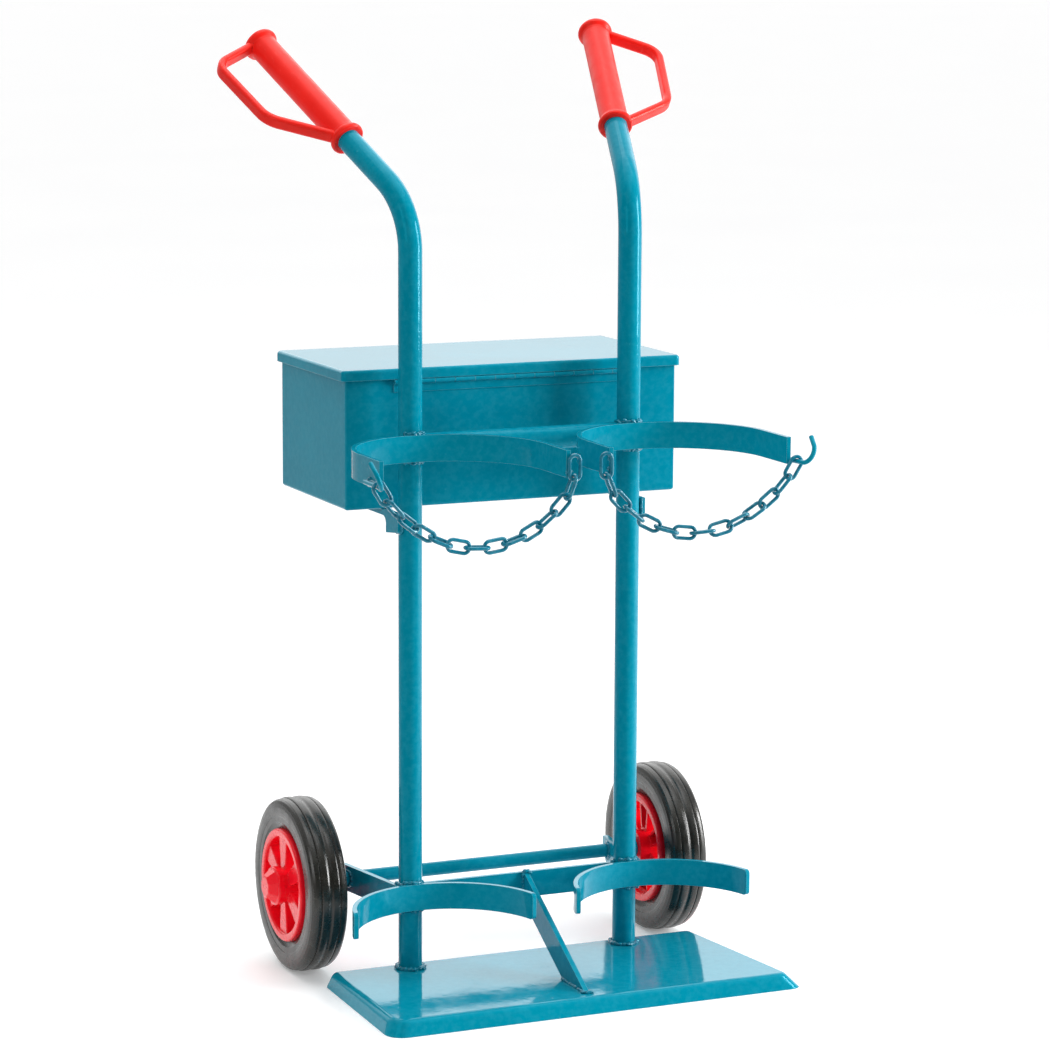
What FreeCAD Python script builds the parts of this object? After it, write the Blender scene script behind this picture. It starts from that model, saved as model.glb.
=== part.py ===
import FreeCAD, Part
import os
import math

os.makedirs("parts", exist_ok=True)
V = FreeCAD.Vector

# ---------------------------------------------------------------- dimensions
# Two-bottle gas welding cart. Millimetres. +Z up, +Y towards the user who
# pulls the handles, X across. The floor is z = 0. While the pieces are made
# the axes of the two uprights stand in the plane y = 0; each piece is then
# moved by -centre_y, so that the origin is on the floor under the middle of
# the whole cart.
centre_y = 29.97
tube_r = 13.45            # upright and cross tube, 26.9 outside diameter
tube_wall = 2.6
upright_x = 134.0         # upright axis to the middle plane
plate_top = 18.0

# base plate: sheet turned down all round
plate_t = 3.0
plate_front_y, plate_back_y = -194.0, 27.0       # outline on the floor
plate_left_front_x, plate_left_back_x = -236.0, -228.0
plate_right_front_x, plate_right_back_x = 268.0, 243.0
plate_lean = (5.0, 17.0, 7.0, 6.0)               # how far the front, right, back and left edges lean inwards
plate_bend_r = 8.0
plate_corner_r = (22.0, 13.0, 11.0, 10.0)        # front left, front right, back right, back left

# handle bend of the uprights
bend_z = {-1: 831.0, 1: 839.5}    # left, right: the two tubes were bent by hand
bend_r = 90.0
bend_angle = 58.5         # degrees from vertical
splay = {-1: 16.3, 1: 16.4}       # degrees outwards from straight back
handle_straight = 258.0   # straight tube past the bend, mostly inside the grip
grip_start = 79.0         # where the grip begins on that straight
grip_len = 197.0
grip_r = 16.2

# hoops (upper) and cradles (lower), flat bar on edge
bar_h = 30.0
bar_t = 5.0
ring_ri = 106.0
hoop_z0 = 600.5
hoop_arm = 60.0
cradle_z0 = 89.0
cradle_open = 10.0        # degrees each end stops short of the half circle

cross_tube_z = 616.5
cross_bar_z0 = 86.0
brace_x0, brace_x1 = 5.0, 11.0

# wheels and axle
axle_r = 8.0
axle_y = 107.5
wheel_r = 100.0
wheel_x = 226.0
tyre_w = 44.6
bead_x = 18.0             # half the width of the tyre at the rim
lip_x = 24.5              # half the width of the rim over its lips
rim_r = 65.0
hub_r = 20.5
hub_in, hub_out = 198.0, 254.0
bush_r = 11.0
bush_clear = 0.06
bracket_t = 6.0
bracket_h = 30.0
bracket_splay = 8.0
bracket_z = 101.5

# toolbox
box_x0 = 5.0              # its middle plane
box_half = 203.5
box_front, box_back = 32.4, 234.0
box_bottom = 542.0
box_rim = 697.7
sheet_t = 1.5
lid_half = 208.5
lid_front, lid_back = 27.6, 240.0
lid_top = 699.5
lid_flange_z = 687.5
lid_edge_r = 4.0
lid_corner_r = 6.0
hinge_y, hinge_z = 29.3, 684.4
hinge_r = 2.7
hinge_pin_r = 1.2
hinge_half = 146.0
hinge_knuckles = 12
gusset_t = 5.0

# chain, hooks
wire = 4.2                # chain wire diameter
link_in = 22.6            # inside length of a link
link_w = 8.6              # inside width of a link
anchor_x, anchor_y, anchor_z = 18.8, -186.55, 611.5
link_angles = (68, 46, 38, 27, 17, 7, -3, -13, -23, -32, -38, -48, -58)
twist_left = (0, 0, 0, 0, 0, 0, 0, 0, 18, 36, 54, 72, 90)
twist_right = (0, 8, 14, 14, 8, 0, -10, -26, -44, -62, -78, -90, -90)
hook_r = 2.7
hook_kink = 10.0
hook_lean = (0.127, 0.762, 0.635)


# ---------------------------------------------------------------- helpers
def box(x0, x1, y0, y1, z0, z1):
    return Part.makeBox(x1 - x0, y1 - y0, z1 - z0, V(x0, y0, z0))


def cyl(p, d, r, h):
    return Part.makeCylinder(r, h, V(*p), V(*d))


def tube(p, d, ro, ri, h):
    return cyl(p, d, ro, h).cut(cyl(p, d, ri, h))


def poly_wire(pts):
    return Part.makePolygon([V(*p) for p in pts] + [V(*pts[0])])


def prism(pts, d):
    return Part.Face(poly_wire(pts)).extrude(V(*d))


def rounded_path(pts, radii):
    """Open wire of straight runs joined by tangent arcs at the inner points."""
    pts = [V(*p) for p in pts]
    edges = []
    start = pts[0]
    for i in range(1, len(pts) - 1):
        a = (pts[i] - pts[i - 1]).normalize()
        b = (pts[i + 1] - pts[i]).normalize()
        turn = a.getAngle(b)
        r = radii[i - 1]
        if r <= 0 or turn < 1e-6:
            edges.append(Part.LineSegment(start, pts[i]).toShape())
            start = pts[i]
            continue
        t = r * math.tan(turn / 2)
        p0 = pts[i] - a * t
        p1 = pts[i] + b * t
        inward = (b - a).normalize()
        centre = pts[i] + inward * (r / math.cos(turn / 2))
        mid = centre - inward * r
        if (p0 - start).Length > 1e-6:
            edges.append(Part.LineSegment(start, p0).toShape())
        edges.append(Part.Arc(p0, mid, p1).toShape())
        start = p1
    edges.append(Part.LineSegment(start, pts[-1]).toShape())
    return Part.Wire(edges)


def sweep(wire_path, r):
    first = wire_path.OrderedEdges[0] if hasattr(wire_path, "OrderedEdges") else wire_path.Edges[0]
    p = first.valueAt(first.FirstParameter)
    d = first.tangentAt(first.FirstParameter)
    prof = Part.Wire([Part.Circle(p, d, r).toShape()])
    s = wire_path.makePipeShell([prof], True, False)
    return s if s.ShapeType == "Solid" else Part.Solid(s)


def rod(pts, radii, r):
    return sweep(rounded_path(pts, radii), r)


def rounded_polygon(pts, radii):
    """Closed plane wire through pts (2-D) with each corner rounded."""
    n = len(pts)
    edges = []
    ends = []
    for i in range(n):
        p = V(pts[i][0], pts[i][1], 0)
        a = (p - V(pts[i - 1][0], pts[i - 1][1], 0)).normalize()
        q = V(pts[(i + 1) % n][0], pts[(i + 1) % n][1], 0)
        b = (q - p).normalize()
        turn = a.getAngle(b)
        r = radii[i]
        t = r * math.tan(turn / 2)
        inward = (b - a).normalize()
        c = p + inward * (r / math.cos(turn / 2))
        ends.append((p - a * t, c - inward * r, p + b * t))
    for i in range(n):
        p0, m, p1 = ends[i]
        edges.append(Part.Arc(p0, m, p1).toShape())
        edges.append(Part.LineSegment(p1, ends[(i + 1) % n][0]).toShape())
    return Part.Wire(edges)


def mirror_x(shape):
    return shape.mirror(V(0, 0, 0), V(1, 0, 0))


def save(name, shape):
    solids = shape.Solids
    out = solids[0] if len(solids) == 1 else Part.makeCompound(solids)
    out.translate(V(0, -centre_y, 0))
    if not out.isValid():
        print("not valid:", name)
    out.exportStep("parts/" + name + ".step")
    print("%-28s %2d solid %12.1f mm3" % (name, len(solids), sum(s.Volume for s in solids)))


def edges_at(shape, test):
    return [e for e in shape.Edges if test(e)]


# ---------------------------------------------------------------- base plate
def leaning_block(top_z, sheet, bend_r):
    """Block with four flat leaning sides, rounded corners and a rounded top edge.

    Every side is moved inwards by the sheet thickness, square to its face."""
    base = [(plate_left_front_x, plate_front_y), (plate_right_front_x, plate_front_y),
            (plate_right_back_x, plate_back_y), (plate_left_back_x, plate_back_y)]
    block = box(plate_left_front_x, plate_right_front_x, plate_front_y, plate_back_y, 0, top_z)
    for i in range(4):
        p0 = V(base[i][0], base[i][1], 0)
        along = V(base[(i + 1) % 4][0], base[(i + 1) % 4][1], 0) - p0
        length = along.Length
        along.normalize()
        inward = V(-along.y, along.x, 0)
        lean = plate_lean[i] / plate_top
        foot = p0 - along * 60.0 + inward * (sheet * math.hypot(1.0, lean))
        up = V(0, 0, 30.0)
        ring = [foot - inward * 60.0 - up, foot - inward * (lean * 30.0) - up,
                foot + inward * (lean * 30.0) + up, foot - inward * 60.0 + up]
        block = block.cut(Part.Face(Part.makePolygon(ring + [ring[0]])).extrude(along * (length + 120.0)))
    for i in range(4):
        x, y = base[i]
        upright_edges = edges_at(block, lambda e: e.BoundBox.ZMax - e.BoundBox.ZMin > top_z - 0.5
                                 and math.hypot(e.BoundBox.Center.x - x, e.BoundBox.Center.y - y) < 40.0)
        block = block.makeFillet(plate_corner_r[i] - sheet, upright_edges[:1])
    return block.makeFillet(bend_r, edges_at(block, lambda e: e.BoundBox.ZMin > top_z - 0.01))


outer = leaning_block(plate_top, 0.0, plate_bend_r)
inner = leaning_block(plate_top - plate_t, plate_t, plate_bend_r - plate_t)
base_plate = outer.cut(inner)
save("base_plate", base_plate)

# ---------------------------------------------------------------- uprights
th = math.radians(bend_angle)


def upright(sx):
    sp = math.radians(splay[sx])
    h = V(sx * math.sin(sp), math.cos(sp), 0)
    d = h * math.sin(th) + V(0, 0, math.cos(th))
    t = bend_r * math.tan(th / 2)
    foot = V(sx * upright_x, 0, plate_top)
    corner = V(sx * upright_x, 0, bend_z[sx] + t)
    end = corner + d * (t + handle_straight)
    path = rounded_path([tuple(foot), tuple(corner), tuple(end)], [bend_r])
    return sweep(path, tube_r).cut(sweep(path, tube_r - tube_wall)), corner + d * t, d


def grip(sx):
    """Moulded grip: sleeve, two collars, closed crowned end and hand guard."""
    _, bend_end, d = upright(sx)
    base = bend_end + d * grip_start
    # section frame: z' along the handle, x' outwards in the guard's plane
    out = V(sx * 0.969, -0.206, -0.131)
    out = (out - d * out.dot(d)).normalize()
    side = d.cross(out)
    m = FreeCAD.Matrix(out.x, side.x, d.x, base.x,
                       out.y, side.y, d.y, base.y,
                       out.z, side.z, d.z, base.z,
                       0, 0, 0, 1)
    # sleeve and collars as one turned profile (x = radius, z = along)
    L = grip_len
    prof = [(tube_r, 0), (18.2, 0), (19.7, 1.2), (20.2, 3.4), (19.7, 5.6), (18.0, 7.0), (16.6, 9.0),
            (grip_r, 13.0), (grip_r, L - 13.5), (16.8, L - 10.5), (18.4, L - 8.8), (19.8, L - 7.2),
            (20.3, L - 4.8), (19.7, L - 2.3), (17.6, L - 0.6), (12.0, L + 0.9), (0, L + 1.6),
            (0, L - 15.0), (tube_r, L - 15.0)]
    face = Part.Face(poly_wire([(x, 0, z) for x, z in prof]))
    sleeve = face.revolve(V(0, 0, 0), V(0, 0, 1), 360)
    # hand guard: a bar swept round the fingers, 9 thick and 15 wide
    c = [(11.0, 7.5), (71.5, 60.0), (74.0, 167.0), (12.0, 190.5)]
    path = rounded_path([(x, 0, z) for x, z in c], [32.0, 23.0])
    first = path.Edges[0]
    p0 = first.valueAt(first.FirstParameter)
    t0 = first.tangentAt(first.FirstParameter)
    n0 = V(0, 1, 0).cross(t0).normalize()
    hw, ht = 7.5, 4.5
    e = []
    cr = 4.1
    loc = [(-hw, -ht), (hw, -ht), (hw, ht), (-hw, ht)]
    ring = rounded_polygon(loc, [cr] * 4)
    mm = FreeCAD.Matrix(0, n0.x, t0.x, p0.x,
                        1, n0.y, t0.y, p0.y,
                        0, n0.z, t0.z, p0.z,
                        0, 0, 0, 1)
    ring = ring.transformGeometry(mm)
    guard = path.makePipeShell([Part.Wire(ring.Edges)], True, False)
    if guard.ShapeType != "Solid":
        guard = Part.Solid(guard)
    bore = cyl((0, 0, -1), (0, 0, 1), tube_r, L - 15.0 + 1)
    guard = guard.cut(cyl((0, 0, -5), (0, 0, 1), tube_r + 0.3, L + 3))
    body = sleeve.fuse(guard).removeSplitter()
    body = body.cut(bore)
    body = body.copy()
    body.Placement = FreeCAD.Placement(m)
    return body


up_l, _, _ = upright(-1)
up_r, _, _ = upright(1)
save("upright_left", up_l)
save("upright_right", up_r)
save("grip_left", grip(-1))
save("grip_right", grip(1))

# ---------------------------------------------------------------- cross members
post_l = cyl((-upright_x, 0, 0), (0, 0, 1), tube_r, 900)
post_r = cyl((upright_x, 0, 0), (0, 0, 1), tube_r, 900)

cross = tube((-upright_x, 0, cross_tube_z), (1, 0, 0), tube_r, tube_r - tube_wall, 2 * upright_x)
save("cross_tube_upper", cross.cut(post_l).cut(post_r))

cross_bar = box(-upright_x, upright_x, -bar_t / 2, bar_t / 2, cross_bar_z0, cross_bar_z0 + bar_h)
cross_bar = cross_bar.cut(post_l).cut(post_r)
save("cross_bar_lower", cross_bar)

# flat brace from the middle of the lower cross bar to the front of the plate
brace = prism([(brace_x0, -bar_t / 2, 116.0), (brace_x0, -171.5, plate_top),
               (brace_x0, -112.0, plate_top), (brace_x0, -bar_t / 2, 82.0)],
              (brace_x1 - brace_x0, 0, 0))
save("diagonal_brace", brace)


# ---------------------------------------------------------------- hoops and cradles
ring_ro = ring_ri + bar_t
ring_y = -(tube_r + ring_ro)


def hoop(sx):
    cx = sx * upright_x
    y1 = ring_y - hoop_arm
    a = Part.Face(Part.Wire([
        Part.LineSegment(V(cx + ring_ro, y1, 0), V(cx + ring_ro, ring_y, 0)).toShape(),
        Part.Arc(V(cx + ring_ro, ring_y, 0), V(cx, ring_y + ring_ro, 0), V(cx - ring_ro, ring_y, 0)).toShape(),
        Part.LineSegment(V(cx - ring_ro, ring_y, 0), V(cx - ring_ro, y1, 0)).toShape(),
        Part.LineSegment(V(cx - ring_ro, y1, 0), V(cx - ring_ri, y1, 0)).toShape(),
        Part.LineSegment(V(cx - ring_ri, y1, 0), V(cx - ring_ri, ring_y, 0)).toShape(),
        Part.Arc(V(cx - ring_ri, ring_y, 0), V(cx, ring_y + ring_ri, 0), V(cx + ring_ri, ring_y, 0)).toShape(),
        Part.LineSegment(V(cx + ring_ri, ring_y, 0), V(cx + ring_ri, y1, 0)).toShape(),
        Part.LineSegment(V(cx + ring_ri, y1, 0), V(cx + ring_ro, y1, 0)).toShape()]))
    s = a.extrude(V(0, 0, bar_h))
    s.translate(V(0, 0, hoop_z0))
    return s


def cradle(sx):
    cx = sx * upright_x
    o = math.radians(cradle_open)

    def at(r, a):
        return V(cx + r * math.cos(a), ring_y + r * math.sin(a), 0)
    a0, a1 = o, math.pi - o
    f = Part.Face(Part.Wire([
        Part.Arc(at(ring_ro, a0), at(ring_ro, math.pi / 2), at(ring_ro, a1)).toShape(),
        Part.LineSegment(at(ring_ro, a1), at(ring_ri, a1)).toShape(),
        Part.Arc(at(ring_ri, a1), at(ring_ri, math.pi / 2), at(ring_ri, a0)).toShape(),
        Part.LineSegment(at(ring_ri, a0), at(ring_ro, a0)).toShape()]))
    s = f.extrude(V(0, 0, bar_h))
    # round the four end corners of the bar

    def is_corner(e):
        bb = e.BoundBox
        return (abs(e.Length - bar_t) < 0.05 and bb.ZLength < 0.01
                and abs(bb.YMax - (ring_y + ring_ro * math.sin(o))) < 1.5)
    s = s.makeFillet(5.0, edges_at(s, is_corner))
    s.translate(V(0, 0, cradle_z0))
    return s


for name, sx in (("left", -1), ("right", 1)):
    save("hoop_" + name, hoop(sx))
    save("cradle_" + name, cradle(sx))

# ---------------------------------------------------------------- chain hooks
ring_end_y = ring_y - hoop_arm
arm_out_x = upright_x + ring_ro           # outer face of the outer arm


def chain_joints(step):
    """Joint points of the hanging chain in its own vertical plane (s, z)."""
    a0 = math.radians(link_angles[0])
    # the first link's end wire rests above the fixed link's lower wire
    s = (half_reach - step / 2) * math.cos(a0)
    z = (anchor_z - half_reach) + wire + 0.3 - (half_reach - step / 2) * math.sin(a0)
    pts = [(s, z)]
    for a in link_angles:
        a = math.radians(a)
        s += step * math.cos(a)
        z -= step * math.sin(a)
        pts.append((s, z))
    return pts


def seat_of(step):
    """Where the hook's bar passes inside the last link, 0.3 clear of its wire."""
    j = chain_joints(step)
    last = math.radians(link_angles[-1])
    c = ((j[-2][0] + j[-1][0]) / 2, (j[-2][1] + j[-1][1]) / 2)
    off = half_reach - (wire / 2 + 0.3 + hook_r)
    return ((c[0] + off * math.cos(last), c[1] - off * math.sin(last)),
            (c[0] + half_reach * math.cos(last), c[1] - half_reach * math.sin(last)))


half_reach = (link_in + wire) / 2
kink = math.radians(hook_kink)
kink_y = ring_end_y - 1.5
shank_x = arm_out_x + hook_r
chain_far_y = ring_end_y - 8.0            # where the last link hangs
seat_x = shank_x + (kink_y - chain_far_y) * math.tan(kink)
dx = seat_x - anchor_x
dy = chain_far_y - anchor_y
run = math.hypot(dx, dy)
# the link-to-link step that spans exactly from the fixed link to the hook
f20, f24 = seat_of(20.0)[0][0], seat_of(24.0)[0][0]
step = 20.0 + 4.0 * (run - f20) / (f24 - f20)
joints = chain_joints(step)
seat, end_wire = seat_of(step)
hook_z = seat[1]
print("step", round(step, 3), "wire gap", round(link_in + wire - step - wire, 3), "hook z", round(hook_z, 2),
      "lowest", round(min(z for _, z in joints), 1))


def hook(sx):
    h = V(math.sin(kink), -math.cos(kink), 0)
    p0 = V(shank_x, ring_end_y + 34.0, hook_z)
    p1 = V(shank_x, kink_y, hook_z)
    # the free end leans back and outwards
    out = V(*hook_lean).normalize()
    r = 12.5
    t = r * math.tan(h.getAngle(out) / 2)
    p2 = p1 + h * (17.0 + t)
    p3 = p2 + out * (t + 12.0)
    s = rod([tuple(p0), tuple(p1), tuple(p2), tuple(p3)], [14.0, r], hook_r)
    return mirror_x(s) if sx < 0 else s


for name, sx in (("left", -1), ("right", 1)):
    save("chain_hook_" + name, hook(sx))


# ---------------------------------------------------------------- chain links
def link():
    """Stadium link along local X, lying in the local XZ plane."""
    rc = (link_w + wire) / 2
    hl = (link_in + wire) / 2 - rc
    e = [Part.LineSegment(V(-hl, 0, rc), V(hl, 0, rc)).toShape(),
         Part.Arc(V(hl, 0, rc), V(hl + rc, 0, 0), V(hl, 0, -rc)).toShape(),
         Part.LineSegment(V(hl, 0, -rc), V(-hl, 0, -rc)).toShape(),
         Part.Arc(V(-hl, 0, -rc), V(-hl - rc, 0, 0), V(-hl, 0, rc)).toShape()]
    a = cyl((-hl, 0, rc), (1, 0, 0), wire / 2, 2 * hl)
    b = cyl((-hl, 0, -rc), (1, 0, 0), wire / 2, 2 * hl)
    t1 = Part.makeTorus(rc, wire / 2, V(hl, 0, 0), V(0, 1, 0), -180, 180, 360)
    t2 = t1
    half = box(hl, hl + 50, -50, 50, -50, 50)
    end = t1.common(half)
    full = a.fuse([b, end, end.mirror(V(0, 0, 0), V(1, 0, 0))]).removeSplitter()
    return full


LINK = link()


def placed_link(centre, along, roll, base_normal):
    """Put a link with its length along 'along', rolled about it by roll degrees."""
    x = V(*along).normalize()
    n = V(*base_normal)
    n = (n - x * n.dot(x)).normalize()
    z = x.cross(n)
    a = math.radians(roll)
    n2 = n * math.cos(a) + z * math.sin(a)
    z2 = x.cross(n2)
    m = FreeCAD.Matrix(x.x, n2.x, z2.x, centre[0],
                       x.y, n2.y, z2.y, centre[1],
                       x.z, n2.z, z2.z, centre[2],
                       0, 0, 0, 1)
    s = LINK.copy()
    s.Placement = FreeCAD.Placement(m)
    return s


def chain(sx):
    u = V(dx / run, dy / run, 0)
    n = V(-u.y, u.x, 0)
    twist = twist_left if sx < 0 else twist_right
    out = []
    for i in range(len(link_angles)):
        s0, z0 = joints[i]
        s1, z1 = joints[i + 1]
        cs, cz = (s0 + s1) / 2, (z0 + z1) / 2
        c = V(anchor_x, anchor_y, 0) + u * cs + V(0, 0, cz)
        along = u * (s1 - s0) + V(0, 0, z1 - z0)
        roll = 90 * (i + 1) + twist[i]
        out.append(placed_link(tuple(c), tuple(along), roll, tuple(n)))
    comp = Part.makeCompound(out)
    if sx < 0:
        comp = mirror_x(comp)
    return comp


for name, sx in (("left", -1), ("right", 1)):
    fixed = placed_link((anchor_x, anchor_y, anchor_z), (0, 0, 1), 0, (0, 1, 0))
    save("chain_anchor_link_" + name, mirror_x(fixed) if sx < 0 else fixed)
    save("chain_" + name, chain(sx))

u_chain = V(dx / run, dy / run, 0)
a_pt = V(anchor_x, anchor_y, anchor_z - half_reach)
b_pt = V(anchor_x, anchor_y, 0) + u_chain * end_wire[0] + V(0, 0, end_wire[1])
ax = (b_pt - a_pt).normalize()
print("chain axis right from", [round(c, 3) for c in a_pt], "dir", [round(c, 5) for c in ax])

# ---------------------------------------------------------------- axle and brackets
axle_end = 263.0
axle = cyl((-axle_end, axle_y, wheel_r), (1, 0, 0), axle_r, 2 * axle_end)
axle = axle.makeChamfer(1.0, edges_at(axle, lambda e: e.Closed and e.BoundBox.XLength < 0.01))
save("axle", axle)


def bracket():
    a = math.radians(bracket_splay)
    e = V(math.sin(a), math.cos(a), 0)
    n = V(math.cos(a), -math.sin(a), 0)
    c = V(upright_x, 0, bracket_z)
    s0, s1 = -8.0, 128.0
    drop = 2.0                              # it falls a little towards the axle

    def at(s, t, z):
        return c + e * s + n * t + V(0, 0, z)
    t0, t1 = tube_r, tube_r + bracket_t
    hh = bracket_h / 2
    pts = [(s0, -hh), (s1 - 14.0, -hh - drop), (s1, -hh - drop + 11.0), (s1, hh - drop - 2.5),
           (s1 - 3.0, hh - drop), (s0, hh)]
    f = Part.Face(Part.makePolygon([at(s, t0, z) for s, z in pts] + [at(pts[0][0], t0, pts[0][1])]))
    b = f.extrude(n * bracket_t)
    return b.cut(cyl((100, axle_y, wheel_r), (1, 0, 0), axle_r, 120))


br = bracket()
save("axle_bracket_right", br)
save("axle_bracket_left", mirror_x(br))

spacer_x0 = 172.5
spacer = tube((spacer_x0, axle_y, wheel_r), (1, 0, 0), 12.0, axle_r, hub_in - 0.5 - spacer_x0)
save("axle_spacer_right", spacer)
save("axle_spacer_left", mirror_x(spacer))


# ---------------------------------------------------------------- wheels
def revolve_x(prof, y=axle_y, z=wheel_r):
    """Turn a closed (x, radius) profile about the axle."""
    f = Part.Face(poly_wire([(x, y, z + r) for x, r in prof]))
    return f.revolve(V(0, y, z), V(1, 0, 0), 360)


def tyre():
    """Recessed beads, flat walls, two raised ribs round the tread between lower shoulders."""
    w = tyre_w / 2
    half = [(bead_x, rim_r), (w - 3.7, rim_r + 1.0), (w - 2.0, 70.4), (w - 1.5, 71.5), (w - 1.0, 72.3),
            (w - 0.7, 78.4), (w - 0.35, 79.4), (w, 83.5), (w - 0.05, 89.0), (w - 0.8, 93.6),
            (w - 2.4, 96.6), (w - 4.8, 98.1), (w - 7.8, 98.8), (w - 10.1, 99.0), (w - 10.5, 98.2), (w - 11.1, 98.2),
            (w - 11.6, 99.3), (w - 13.0, 99.85), (w - 14.8, wheel_r), (w - 17.2, wheel_r), (w - 19.2, 99.75),
            (w - 21.0, 99.0), (0, 98.7)]
    prof = [(wheel_x + x, r) for x, r in half] + [(wheel_x - x, r) for x, r in reversed(half[:-1])]
    return revolve_x(prof)


def rim():
    """Ring with lips that stand out past the tyre's beads, six spokes that widen outwards, and the hub."""
    w = lip_x
    half = [(w - 2.4, rim_r), (w - 1.3, rim_r - 0.25), (w - 0.5, rim_r - 0.85), (w - 0.1, rim_r - 1.7),
            (w, rim_r - 2.8), (w - 0.2, 57.6), (w - 0.7, 56.4), (w - 1.8, 55.6), (4, 54.0)]
    ring = [(wheel_x + x, r) for x, r in half] + [(wheel_x - x, r) for x, r in reversed(half)]
    s = revolve_x(ring)
    hub = tube((hub_in, axle_y, wheel_r), (1, 0, 0), hub_r, bush_r, hub_out - hub_in - 2.0)
    spokes = []
    for i in range(6):
        a = 60.0 * i
        pts0 = [(-7.0, hub_r - 2.0), (7.0, hub_r - 2.0), (11.8, 55.2), (-11.8, 55.2)]
        f = Part.Face(poly_wire([(wheel_x - 15.0, p[0], p[1]) for p in pts0]))
        sp_ = f.extrude(V(36.6, 0, 0))
        front = edges_at(sp_, lambda e: e.BoundBox.XMin > wheel_x + 21.5 and e.BoundBox.ZLength > 20)
        sp_ = sp_.makeFillet(1.6, front)
        # hollow towards the wheel's inner side
        pts1 = [(-4.4, hub_r + 2.0), (4.4, hub_r + 2.0), (8.6, 52.0), (-8.6, 52.0)]
        f1 = Part.Face(poly_wire([(wheel_x - 16.0, p[0], p[1]) for p in pts1]))
        sp_ = sp_.cut(f1.extrude(V(30.0, 0, 0)))
        sp_.translate(V(0, axle_y, wheel_r))
        sp_.rotate(V(0, axle_y, wheel_r), V(1, 0, 0), a)
        spokes.append(sp_)
    whole = s.fuse([hub] + spokes)
    whole = whole.cut(cyl((hub_in - 5, axle_y, wheel_r), (1, 0, 0), bush_r, 80))
    return whole.removeSplitter()


ty = tyre()
ri = rim()
bush = tube((hub_in, axle_y, wheel_r), (1, 0, 0), bush_r, axle_r + bush_clear, hub_out - hub_in - 2.0)
save("tyre_right", ty)
save("tyre_left", mirror_x(ty))
save("wheel_rim_right", ri)
save("wheel_rim_left", mirror_x(ri))
save("wheel_bush_right", bush)
save("wheel_bush_left", mirror_x(bush))


def hub_cap():
    """Round collar with an eight-sided cone, pushed over the end of the axle."""
    x0 = hub_out - 1.5
    collar = cyl((x0, axle_y, wheel_r), (1, 0, 0), 22.0, 7.6)
    collar = collar.makeFillet(2.2, edges_at(collar, lambda e: e.Closed and e.BoundBox.XMin > x0 + 7.5))

    def octagon(x, r):
        return Part.makePolygon([V(x, axle_y + r * math.cos(math.radians(22.5 + 45 * i)),
                                   wheel_r + r * math.sin(math.radians(22.5 + 45 * i))) for i in range(9)])
    cone = Part.makeLoft([octagon(x0 + 7.0, 20.6), octagon(x0 + 16.4, 13.4)], True, True)
    tip = Part.makeLoft([octagon(x0 + 16.4, 13.4), octagon(x0 + 17.2, 12.0)], True, True)
    cap = collar.fuse([cone, tip]).removeSplitter()
    bore = cyl((x0 - 1, axle_y, wheel_r), (1, 0, 0), axle_r, axle_end - x0 + 1)
    well = cyl((x0 - 1, axle_y, wheel_r), (1, 0, 0), 12.6, 4.0)
    return cap.cut(bore).cut(well)


cap = hub_cap()
save("hub_cap_right", cap)
save("hub_cap_left", mirror_x(cap))
# spring lock rings pressed on the axle inside the caps
ring_x = hub_out - 1.5 + 0.2
lock = tube((ring_x, axle_y, wheel_r), (1, 0, 0), 12.2, axle_r, 2.0)
save("axle_lock_ring_right", lock)
save("axle_lock_ring_left", mirror_x(lock))

# ---------------------------------------------------------------- toolbox
bx0, bx1 = box_x0 - box_half, box_x0 + box_half
shell = box(bx0, bx1, box_front, box_back, box_bottom, box_rim)
shell = shell.makeFillet(3.5, edges_at(shell, lambda e: e.BoundBox.ZMax < box_bottom + 0.01))
shell = shell.makeFillet(1.8, edges_at(shell, lambda e: e.BoundBox.ZLength > 100))
cav = box(bx0 + sheet_t, bx1 - sheet_t, box_front + sheet_t, box_back - sheet_t, box_bottom + sheet_t, box_rim + 5)
cav = cav.makeFillet(2.0, edges_at(cav, lambda e: e.BoundBox.ZMax < box_bottom + sheet_t + 0.01))
save("toolbox_body", shell.cut(cav))

lx0, lx1 = box_x0 - lid_half, box_x0 + lid_half
lid = box(lx0, lx1, lid_front, lid_back, lid_flange_z, lid_top)
lid = lid.makeFillet(lid_corner_r, edges_at(lid, lambda e: e.BoundBox.ZLength > 5 and e.BoundBox.XLength < 0.01
                                            and e.BoundBox.YLength < 0.01))
lid = lid.makeFillet(lid_edge_r, edges_at(lid, lambda e: e.BoundBox.ZMin > lid_top - 0.01))
lcav = box(lx0 + sheet_t, lx1 - sheet_t, lid_front + sheet_t, lid_back - sheet_t, lid_flange_z - 5, lid_top - sheet_t)
lcav = lcav.makeFillet(lid_corner_r - sheet_t, edges_at(lcav, lambda e: e.BoundBox.ZLength > 5 and
                                                        e.BoundBox.XLength < 0.01 and e.BoundBox.YLength < 0.01))
lcav = lcav.makeFillet(lid_edge_r - sheet_t, edges_at(lcav, lambda e: e.BoundBox.ZMin > lid_top - sheet_t - 0.01))
save("toolbox_lid", lid.cut(lcav))

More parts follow.
